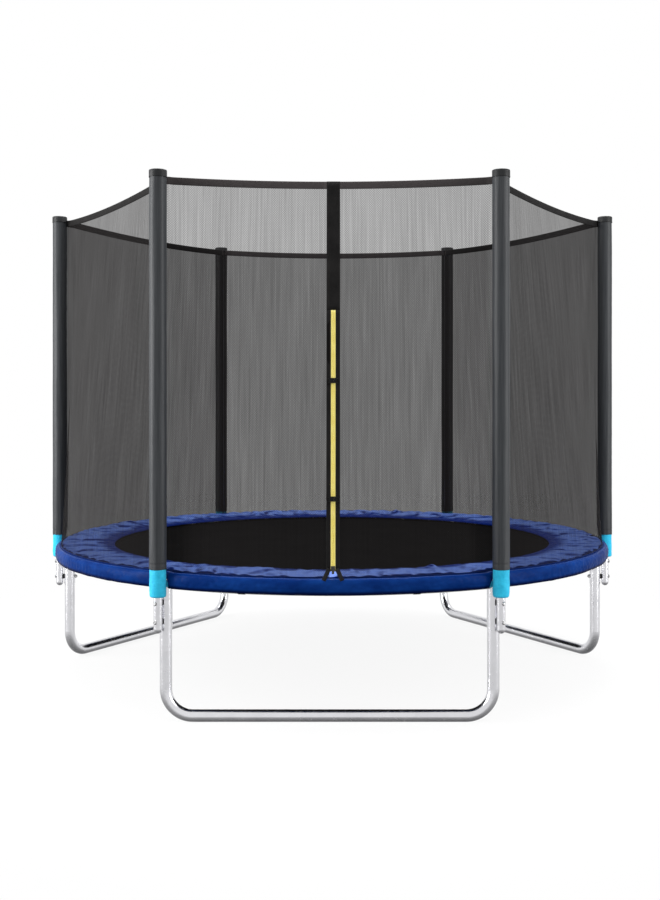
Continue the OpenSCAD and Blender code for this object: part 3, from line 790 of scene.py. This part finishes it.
def held_rows(points):
    """One share for each row: 0 where the skin is sewn down, at its inner edge and its groove."""
    row = np.arange(len(points))
    return np.minimum(1, abs(row - GROOVE_ROW) / 3) * np.minimum(1, row / 3)


def crumple(points, angle):
    """The first wrinkles of the skin, over uneven foam."""
    share = angle / TAU
    rows = np.arange(len(points))[:, None] / (len(points) - 1)
    fine = lattice_noise(share, rows, 220, 16, 11) + 0.6 * lattice_noise(share, rows, 420, 28, 12)
    broad = lattice_noise(share, rows, 60, 7, 13)
    lift = 0.0008 * fine + 0.0016 * broad
    return points + grid_normals(points) * (lift * held_rows(points)[:, None])[..., None]


def fold_sections(points, angle, r):
    """A gathered fold wherever two sections of the cover meet: a few short ridges side by side."""
    out = (r - PAD_IN) / (PAD_OUT - PAD_IN)
    lift = 0
    for k, place in enumerate(FOLDS_AT):
        offset = ((angle / TAU - place / 360 + 0.5) % 1 - 0.5) * TAU * GROOVE_R
        for side, (middle, width, height) in enumerate(FOLD_RIDGES):
            lean = offset - (0.5 - side) * 0.03 - 0.10 * (out - middle)
            lump = np.exp(-((lean / width) ** 2) - ((out - middle - 0.02 * np.sin(k)) / 0.13) ** 2)
            lift = lift + height * lump * (0.60 + 0.40 * np.sin(lean * 190 + k + 9 * out))
    return points + (lift * held_rows(points)[:, None])[..., None] * np.array([0, 0, 1.0])


def make_pad():
    """Pad: a coated cover over foam, sewn at its groove, with a skirt that hangs open underneath."""
    skin, angle, r = pad_grid()
    skin = crumple(skin, angle)
    row = np.arange(len(skin))
    hold = np.where((row < 3) | (abs(row - GROOVE_ROW) < 2) | (row > len(skin) - 3), 1.0, 0.0)
    hold[np.isin(row, (3, 4))] = 0.4
    hold[GROOVE_ROW + 2 : -2] = 0.8
    pins = np.repeat(hold, PAD_SIDES)
    faces = grid_faces(len(skin), PAD_SIDES, False, True)
    skin = pucker(skin, faces, pins, growth=0.03, frames=16, reach=0.006)
    skin = fold_sections(skin, angle, r)
    thick = 0.0022
    inside = skin[: GROOVE_ROW : -1].copy()
    inside[..., :2] *= 1 - thick / np.hypot(inside[..., 0], inside[..., 1])[..., None]
    inside = inside[inside[:, 0, 2] < PAD_BOTTOM + 0.001]
    under = [inside[-1] * (s, s, 0) + (0, 0, PAD_BOTTOM) for s in (1.0, 0.985, 0.93, 0.87, 0.82)]
    points = np.concatenate([skin, inside, np.array(under)])
    run = np.concatenate([PAD_RUN, PAD_RUN[-1] + 0.02 * np.arange(1, len(points) - len(skin) + 1)])
    uv = stacked(angle * PAD_OUT, run[:, None])
    faces = grid_faces(len(points), PAD_SIDES, True, True)
    piece = make_piece("pad_ring", points, faces, pad_blue, uv)
    smooth = piece.modifiers.new("smooth", "SUBSURF")
    smooth.levels = smooth.render_levels = 1
    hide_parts("safety_pad", "pad_skirt")


def make_pad_straps():
    """Straps under the pad, each a loop of webbing round the rail, sewn to the pad's underside."""
    half, loop_r, thick = 0.0125, RAIL_TUBE_R + 0.0004, 0.0012
    arc = np.linspace(math.radians(70), math.radians(-250), 40)
    rise = PAD_BOTTOM - RAIL_Z
    line = np.array([
        (0.008, rise - 0.001), (0.008, rise - 0.006),
        *[(loop_r * math.cos(a), loop_r * math.sin(a)) for a in arc],
        (-0.008, rise - 0.006), (-0.008, rise - 0.001),
    ])
    gap = np.gradient(line, axis=0)
    out = stacked(-gap[:, 1], gap[:, 0]) / np.linalg.norm(gap, axis=1)[:, None]
    loop = np.concatenate([line, (line + out * thick)[::-1]])
    across = half * np.array([-1, -0.96, 0.96, 1])[:, None]
    rings = stacked(RAIL_R + loop[:, 0], across, RAIL_Z + loop[:, 1])
    count, last = len(loop), 3 * len(loop)
    faces = grid_faces(4, count, False, True).tolist()
    for i in range(len(line) - 1):
        a, b, c, d = i, i + 1, count - 2 - i, count - 1 - i
        faces.append([a, d, c, b])
        faces.append([last + a, last + b, last + c, last + d])
    bearings = [STEP * k + side * STEP / 4 for k in range(6) for side in (-1, 1)]
    points, faces = at_bearings(rings, faces, bearings)
    uv = stacked(half * np.array([-1, -1, 1, 1])[:, None], run_along(loop)).reshape(-1, 2)
    uv = np.tile(uv, (len(bearings), 1))
    piece = make_piece("pad_loops", points, faces, webbing, uv)
    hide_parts("pad_straps")


make_pad()
make_pad_straps()


# ---- net
def net_point(k, s, t, out):
    """A point of a net panel: s runs from one pole to the next, t from the lower edge to the upper one.

    Near each pole the net turns outward until it meets the sleeve.
    """
    r = NET_R + out
    angle = STEP * (k + s)
    low = round_centre(r, angle, NET_LOW)
    start, end = round_centre(r, STEP * np.array([k, k + 1]), NET_HIGH)
    high = mix(start, end, s[..., None])
    high[..., 2] -= 4 * NET_SAG * s * (1 - s)
    points = low + t[..., None] * (high - low)
    near = (1 - smooth_step(0, TURN_OUT, np.minimum(s, 1 - s))) * smooth_step(0.0, 0.03, t)
    return points + (CORNER_GAP * near)[..., None] * round_centre(1, angle, 0)


def even_and_ends(low, high, count):
    """count steps from low to high, closer together near the poles, where the net turns outward."""
    t = np.linspace(0, 1, count)
    if low < 0.1 and high > 0.9:
        t = mix(t, smooth_step(0, 1, t), 0.7)
    elif low < 0.1:
        t = mix(t, t * t, 0.55)
    elif high > 0.9:
        t = 1 - mix(1 - t, (1 - t) ** 2, 0.55)
    return mix(low, high, t)


def net_sheet(k, s_low, s_high, columns):
    """Points, faces and UVs of one stretch of net, with slack folds that fan down from its upper corners."""
    rows = 60
    t_low, t_high = -TUCK / SLOPE, 1 + (TOP_RAISE - TOP_BAND * 0.5) / SLOPE
    s, t = np.meshgrid(even_and_ends(s_low, s_high, columns), np.linspace(t_low, t_high, rows), indexing="ij")
    width = NET_R * STEP
    down = (1 - t) * SLOPE
    fold = 0
    for corner in (s, 1 - s):
        x = corner * width
        fan = x / (0.10 + 0.35 * down)
        fold += np.sin(fan * 26 + 3 * k) * np.exp(-((x / 0.34) ** 2)) * np.exp(-down / 0.65)
    inside_t = np.clip(t, 0, 1)
    loose = lattice_noise(s, inside_t, 14, 5, 201 + k, False) * np.sin(inside_t * math.pi)
    edge = smooth_step(0, 0.05, s) * smooth_step(0, 0.05, 1 - s)
    edge = edge * smooth_step(0, 0.06, 1 - t) * smooth_step(0, 0.04, t)
    inward = -round_centre(1, STEP * (k + 0.5), 0)
    points = net_point(k, s, t, NET_BACK) + ((0.0022 * fold + 0.004 * loose) * edge)[..., None] * inward
    return points, grid_faces(columns, rows), stacked(s * width, t * SLOPE)


def make_net():
    """Net: a sheet from pole to pole on each side, and at the front one on each side of the door."""
    for k in range(6):
        stretches = [(CORNER, 1 - CORNER, 80)]
        if k == DOOR_PANEL:
            stretches = [(CORNER, DOOR_S - DOOR_GAP, 40), (DOOR_S + DOOR_GAP, 1 - CORNER, 40)]
        points, faces, uv = join_cloth([net_sheet(k, *stretch) for stretch in stretches])
        finish = net_front if k in (DOOR_PANEL, DOOR_PANEL - 3) else net_side
        piece = make_piece(f"net_sheet_{k + 1}", points, faces, finish, uv)
        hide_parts(f"net_panel_{k + 1}")


def band_along(name, t_low, t_high, half, finish):
    """A folded band over the net's edge, from one side of the door round to the other."""
    spans = []
    for n in range(7):
        low = DOOR_S + BAND_GAP if n == 0 else 0.0
        high = DOOR_S - BAND_GAP if n == 6 else 1.0
        s = even_and_ends(low, high, 40)
        spans.append(((DOOR_PANEL + n) % 6, s if n == 0 else s[1:]))
    # how far out, and the share of the way up, all round the band
    profile = [(-0.2, 0.0), (0.75, 0.04), (1, 0.15), (1, 0.85), (0.75, 0.96), (0, 1.0),
               (-0.75, 0.96), (-1, 0.85), (-1, 0.15), (-0.75, 0.04)]
    rows = []
    for out, share in profile:
        t = mix(t_low, t_high, share)
        line = [net_point(k, s, np.full(len(s), t), out * half + NET_BACK) for k, s in spans]
        rows.append(np.concatenate(line))
    run = np.concatenate([(n + s) * NET_R * STEP for n, (_, s) in enumerate(spans)])
    up = np.array(profile)[:, 1:] * (t_high - t_low) * SLOPE
    count = len(run)
    faces = grid_faces(len(profile), count, True, False).tolist()
    faces.append([i * count for i in range(len(profile))])
    faces.append([i * count + count - 1 for i in range(len(profile))][::-1])
    return make_piece(name, np.array(rows), faces, finish, stacked(run, up))


def make_bindings():
    """The net's bound upper edge, and the rolled lower edge that lies in the pad's groove."""
    t_low, t_high = 1 + (TOP_RAISE - TOP_BAND) / SLOPE, 1 + TOP_RAISE / SLOPE
    top = band_along("net_top_binding", t_low, t_high, 0.0025, net_hem)
    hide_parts("net_bindings")
    # painted shade: the low binding takes the navy of the groove's shade
    band_along("net_low_binding", -(TUCK + 0.001) / SLOPE, -(TUCK - 0.0020) / SLOPE, 0.0014,
               navy_cord)


def soft_box(low, high, bevel, splits):
    """Points and faces of a closed box with rounded edges. splits is how many faces lie along each axis."""
    low, high = np.array(low), np.array(high)
    points, faces, index = [], [], {}
    axes = []
    for a in range(3):
        inner = np.linspace(low[a] + bevel, high[a] - bevel, splits[a] + 1)
        axes.append(np.concatenate([[low[a]], inner, [high[a]]]))

    def vertex(key):
        """The number of a grid point, which is pulled in where an edge or a corner is round."""
        if key not in index:
            p = np.array([axis[i] for axis, i in zip(axes, key)])
            core = np.clip(p, low + bevel, high - bevel)
            size = np.linalg.norm(p - core)
            if size > 1e-9:
                p = core + (p - core) / size * bevel
            index[key] = len(points)
            points.append(p)
        return index[key]

    ends = [len(axis) - 1 for axis in axes]
    for a in range(3):
        b, c = (a + 1) % 3, (a + 2) % 3
        for side in (0, ends[a]):
            for i, j in np.ndindex(ends[b], ends[c]):
                quad = []
                for di, dj in ((0, 0), (1, 0), (1, 1), (0, 1)):
                    key = [0, 0, 0]
                    key[a], key[b], key[c] = side, i + di, j + dj
                    quad.append(vertex(tuple(key)))
                faces.append(quad if side else quad[::-1])
    return np.array(points), faces


def make_ties():
    """Ties: webbing tabs that hang the net's corners from lugs on the caps."""
    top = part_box("net_ties")[1].z
    half, bevel = 0.006, 0.0008
    tab_x, tab_low = SLEEVE_FACE - 0.0046, NET_HIGH + TOP_RAISE - TOP_BAND
    points, faces = at_bearings(*soft_box((tab_x, -half, tab_low), (tab_x + 0.002, half, top), bevel, (1, 3, 6)))
    piece = make_piece("net_tabs", points, faces, webbing, points[:, [0, 2]])
    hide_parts("net_ties")
    lug = soft_box((SLEEVE_FACE - 0.0098, -half, top), (SLEEVE_FACE, half, top + 0.004), bevel, (3, 3, 1))
    points, faces = at_bearings(*lug)
    make_piece("cap_lugs", points, faces, cap_plastic)


make_net()
make_bindings()
make_ties()


# ---- door
def door_to_frame(points):
    """Points from the door's own frame, x across, y inward and z up its slope, to the model's frame."""
    points = np.asarray(points, float)
    x, y, z = points[..., 0], points[..., 1], points[..., 2]
    c, s = math.cos(LEAN), math.sin(LEAN)
    return stacked(DOOR_X + x, -NET_R + y * c + z * s, NET_LOW - y * s + z * c)


def up_door(z):
    """How far up the door's slope a height is."""
    return (z - NET_LOW) / math.cos(LEAN)


# where the zip starts and ends and the buckles sit, from their heights above the ground
ZIP_LOW, ZIP_HIGH = up_door(0.577), up_door(1.509)
ZIP_HALF = 0.0105
BUCKLES_AT = [up_door(0.830), up_door(1.251)]
BUCKLE_STRAP_HALF = 0.0085


def door_strip(x0, x1, y0, y1, z0, z1, rows, seed, edge=0.0004, wave=0.0003):
    """Points, faces and UVs of a flat strip of fabric on the door, with rounded edges and a slight ripple."""
    middle = (y0 + y1) / 2
    outline = np.array([
        (x0, middle), (x0 + edge, y0), (mix(x0, x1, 0.3), y0), (mix(x0, x1, 0.7), y0), (x1 - edge, y0),
        (x1, middle), (x1 - edge, y1), (mix(x0, x1, 0.5), y1), (x0 + edge, y1),
    ])
    ripple = lattice_noise(np.linspace(0, 1, rows), 0, 40, 1, 301 + seed, False)
    z = np.linspace(z0, z1, rows)[:, None]
    points = stacked(outline[:, 0], outline[:, 1] + wave * ripple[:, None], z)
    return points.reshape(-1, 3), closed_faces(rows, len(outline)), points[..., [0, 2]]


def make_trim():
    """Black strips over the door's cut edges, and one strip above the zip."""
    front, back, lap = -0.002, -0.0006, ZIP_HALF - 0.0004
    points, faces, uv = join_cloth([
        door_strip(-TRIM_HALF, -lap, front, back, ZIP_LOW, ZIP_HIGH, 60, 1),
        door_strip(lap, TRIM_HALF, front, back, ZIP_LOW, ZIP_HIGH, 60, 2),
        door_strip(-TRIM_HALF, TRIM_HALF, front, back, ZIP_HIGH, SLOPE + TOP_RAISE, 30, 3),
    ])
    piece = make_piece("door_binding", door_to_frame(points), faces, webbing, uv)
    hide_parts("door_trim")


def make_zip():
    """Zip: two yellow tapes and the moulded coil that joins them."""
    front, back, top = -0.0018, -0.0006, ZIP_HIGH - 0.0003
    parts = [
        door_strip(-ZIP_HALF, -0.0006, front, back, ZIP_LOW, top, 120, 5, 0.0003, 0.0001),
        door_strip(0.0006, ZIP_HALF, front, back, ZIP_LOW, top, 120, 6, 0.0003, 0.0001),
    ]
    pitch = 0.0032
    tooth = soft_box((-0.0024, front - 0.0021, 0.0), (0.0012, front + 0.0001, pitch * 0.62), 0.0005, (1, 1, 1))
    for i in range(int((ZIP_HIGH - ZIP_LOW - 0.004) / pitch)):
        side = 1 if i % 2 else -1
        points = tooth[0] * (side, 1, 1) + (0, 0, ZIP_LOW + 0.002 + i * pitch)
        parts.append((points, [face[::side] for face in tooth[1]], points[:, [0, 2]]))
    points, faces, uv = join_cloth(parts)
    piece = make_piece("zip_chain", door_to_frame(points), faces, zip_yellow, uv)
    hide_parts("zip_tape")


def foot_strap(side):
    """Points and faces of one strap from the door's foot down over the pad's edge."""
    top = np.array([DOOR_X + side * 0.014, -NET_R - 0.007, 0.588])
    foot = np.array([DOOR_X + side * 0.033, -PAD_OUT - 0.006, 0.549])
    t = np.linspace(0, 1, 14)
    path = mix(top, foot, t[:, None])
    path[:, 1] -= 0.002 * np.sin(t * math.pi)
    half, thick = 0.0078, 0.0011
    edge = half * 0.9
    outline = [(-half, 0), (-edge, -thick), (edge, -thick), (half, 0), (edge, thick), (-edge, thick)]
    down = foot - top
    across = np.array([1.0, 0, 0]) - down * down[0] / (down @ down)
    across /= np.linalg.norm(across)
    face_out = np.cross(down / np.linalg.norm(down), across)
    rings = np.array([[p + a * across + b * face_out for a, b in outline] for p in path])
    return rings, closed_faces(len(path), len(outline))


def make_door_straps():
    """Webbing at the buckles, and the two straps that tie the door's foot to the pad."""
    parts = []
    for z in BUCKLES_AT:
        low, high = z - BUCKLE_STRAP_HALF, z + BUCKLE_STRAP_HALF
        for x, y, splits in (
            ((-TRIM_HALF, -0.0213), (-0.0039, -0.0023), (2, 1, 4)),
            ((-0.0229, -0.0213), (-0.0155, -0.0023), (1, 4, 4)),
            ((0.0193, TRIM_HALF), (-0.0039, -0.0023), (2, 1, 4)),
        ):
            points, faces = soft_box((x[0], y[0], low), (x[1], y[1], high), 0.0006, splits)
            parts.append((door_to_frame(points), faces))
    parts += [foot_strap(-1), foot_strap(1)]
    points, faces = join(parts)
    piece = make_piece("door_webbing", points, faces, webbing, points[:, [0, 2]])
    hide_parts("door_straps")


make_trim()
make_zip()
make_door_straps()


# ---- stage, light and camera
def make_floor():
    """A pale floor, so faint that it only holds a trace of the object's shadow."""
    size = 9.0
    mesh = bpy.data.meshes.new("floor")
    corners = [(-size, -size, 0), (size, -size, 0), (size, size, 0), (-size, size, 0)]
    mesh.from_pydata(corners, [], [(0, 1, 2, 3)])
    f = Finish("floor", Base_Color=(0.93, 0.93, 0.93, 1), Roughness=0.9, Specular_IOR_Level=0.1)
    far = f.add("VectorMath", {0: f.place()}, operation="LENGTH").outputs["Value"]
    fade = f.add("MapRange", {"Value": far, "From Min": 0.9, "From Max": 2.6, "To Min": 0.90, "To Max": 1.0},
                 interpolation_type="SMOOTHSTEP").outputs[0]
    f.part_clear(fade, 2)
    mesh.materials.append(f.material)
    floor = bpy.data.objects.new("floor", mesh)
    bpy.context.scene.collection.objects.link(floor)


def make_world():
    """White surroundings: plain white behind the object, and a soft studio for what lights it."""
    world = bpy.data.worlds.new("studio")
    bpy.context.scene.world = world
    world.use_nodes = True
    tree = world.node_tree
    tree.nodes.clear()

    def add(kind, **values):
        node = tree.nodes.new("ShaderNode" + kind)
        for socket, value in values.items():
            node.inputs[socket.replace("_", " ")].default_value = value
        return node

    out, where, split, path = add("OutputWorld"), add("TexCoord"), add("SeparateXYZ"), add("LightPath")
    seen, lit = add("Background", Color=(1, 1, 1, 1)), add("Background", Strength=0.85)
    height, ramp, both = add("MapRange", From_Min=-1), add("ValToRGB"), add("MixShader")
    for position, grey in ((0.0, 0.10), (0.27, 0.34), (0.43, 0.96), (0.85, 1.0)):
        stop = ramp.color_ramp.elements.new(position)
        stop.color = (grey, grey, grey, 1)
    ramp.color_ramp.elements.remove(ramp.color_ramp.elements[0])
    ramp.color_ramp.elements.remove(ramp.color_ramp.elements[-1])
    for output, socket in (
        (where.outputs["Generated"], split.inputs[0]),
        (split.outputs["Z"], height.inputs["Value"]),
        (height.outputs[0], ramp.inputs["Fac"]),
        (ramp.outputs["Color"], lit.inputs["Color"]),
        (path.outputs["Is Camera Ray"], both.inputs[0]),
        (lit.outputs[0], both.inputs[1]),
        (seen.outputs[0], both.inputs[2]),
        (both.outputs[0], out.inputs["Surface"]),
    ):
        tree.links.new(output, socket)


def add_light(name, place, target, size, power):
    """A rectangular light that faces its target, and that the camera doesn't see."""
    data = bpy.data.lights.new(name, "AREA")
    data.shape = "RECTANGLE"
    data.size, data.size_y = size
    data.energy = power
    light = bpy.data.objects.new(name, data)
    light.location = place
    light.rotation_mode = "QUATERNION"
    light.rotation_quaternion = (Vector(target) - Vector(place)).to_track_quat("-Z", "Y")
    light.visible_camera = False
    bpy.context.scene.collection.objects.link(light)


def make_camera():
    """The camera stands in front of the door at chest height and looks level."""
    data = bpy.data.cameras.new("camera")
    data.sensor_fit = "AUTO"
    data.sensor_width = 36.0
    data.lens = 45.87
    data.shift_x = -0.0147
    data.shift_y = -0.0571
    camera = bpy.data.objects.new("camera", data)
    camera.location = (0.050, -5.260, 1.188)
    camera.rotation_euler = (math.radians(90), 0, 0)
    bpy.context.scene.collection.objects.link(camera)
    bpy.context.scene.camera = camera


make_floor()
make_world()
add_light("key_light", (-4.6, -1.7, 2.2), (0, 0, 1.2), (2.2, 4.2), 300)
add_light("fill_light", (4.3, -2.3, 2.0), (0, 0, 1.2), (1.2, 4.0), 140)
add_light("top_light", (0, 0.5, 5.5), (0, 0, 0.5), (4.0, 4.0), 330)
make_camera()
bpy.context.scene.view_settings.view_transform = "Standard"
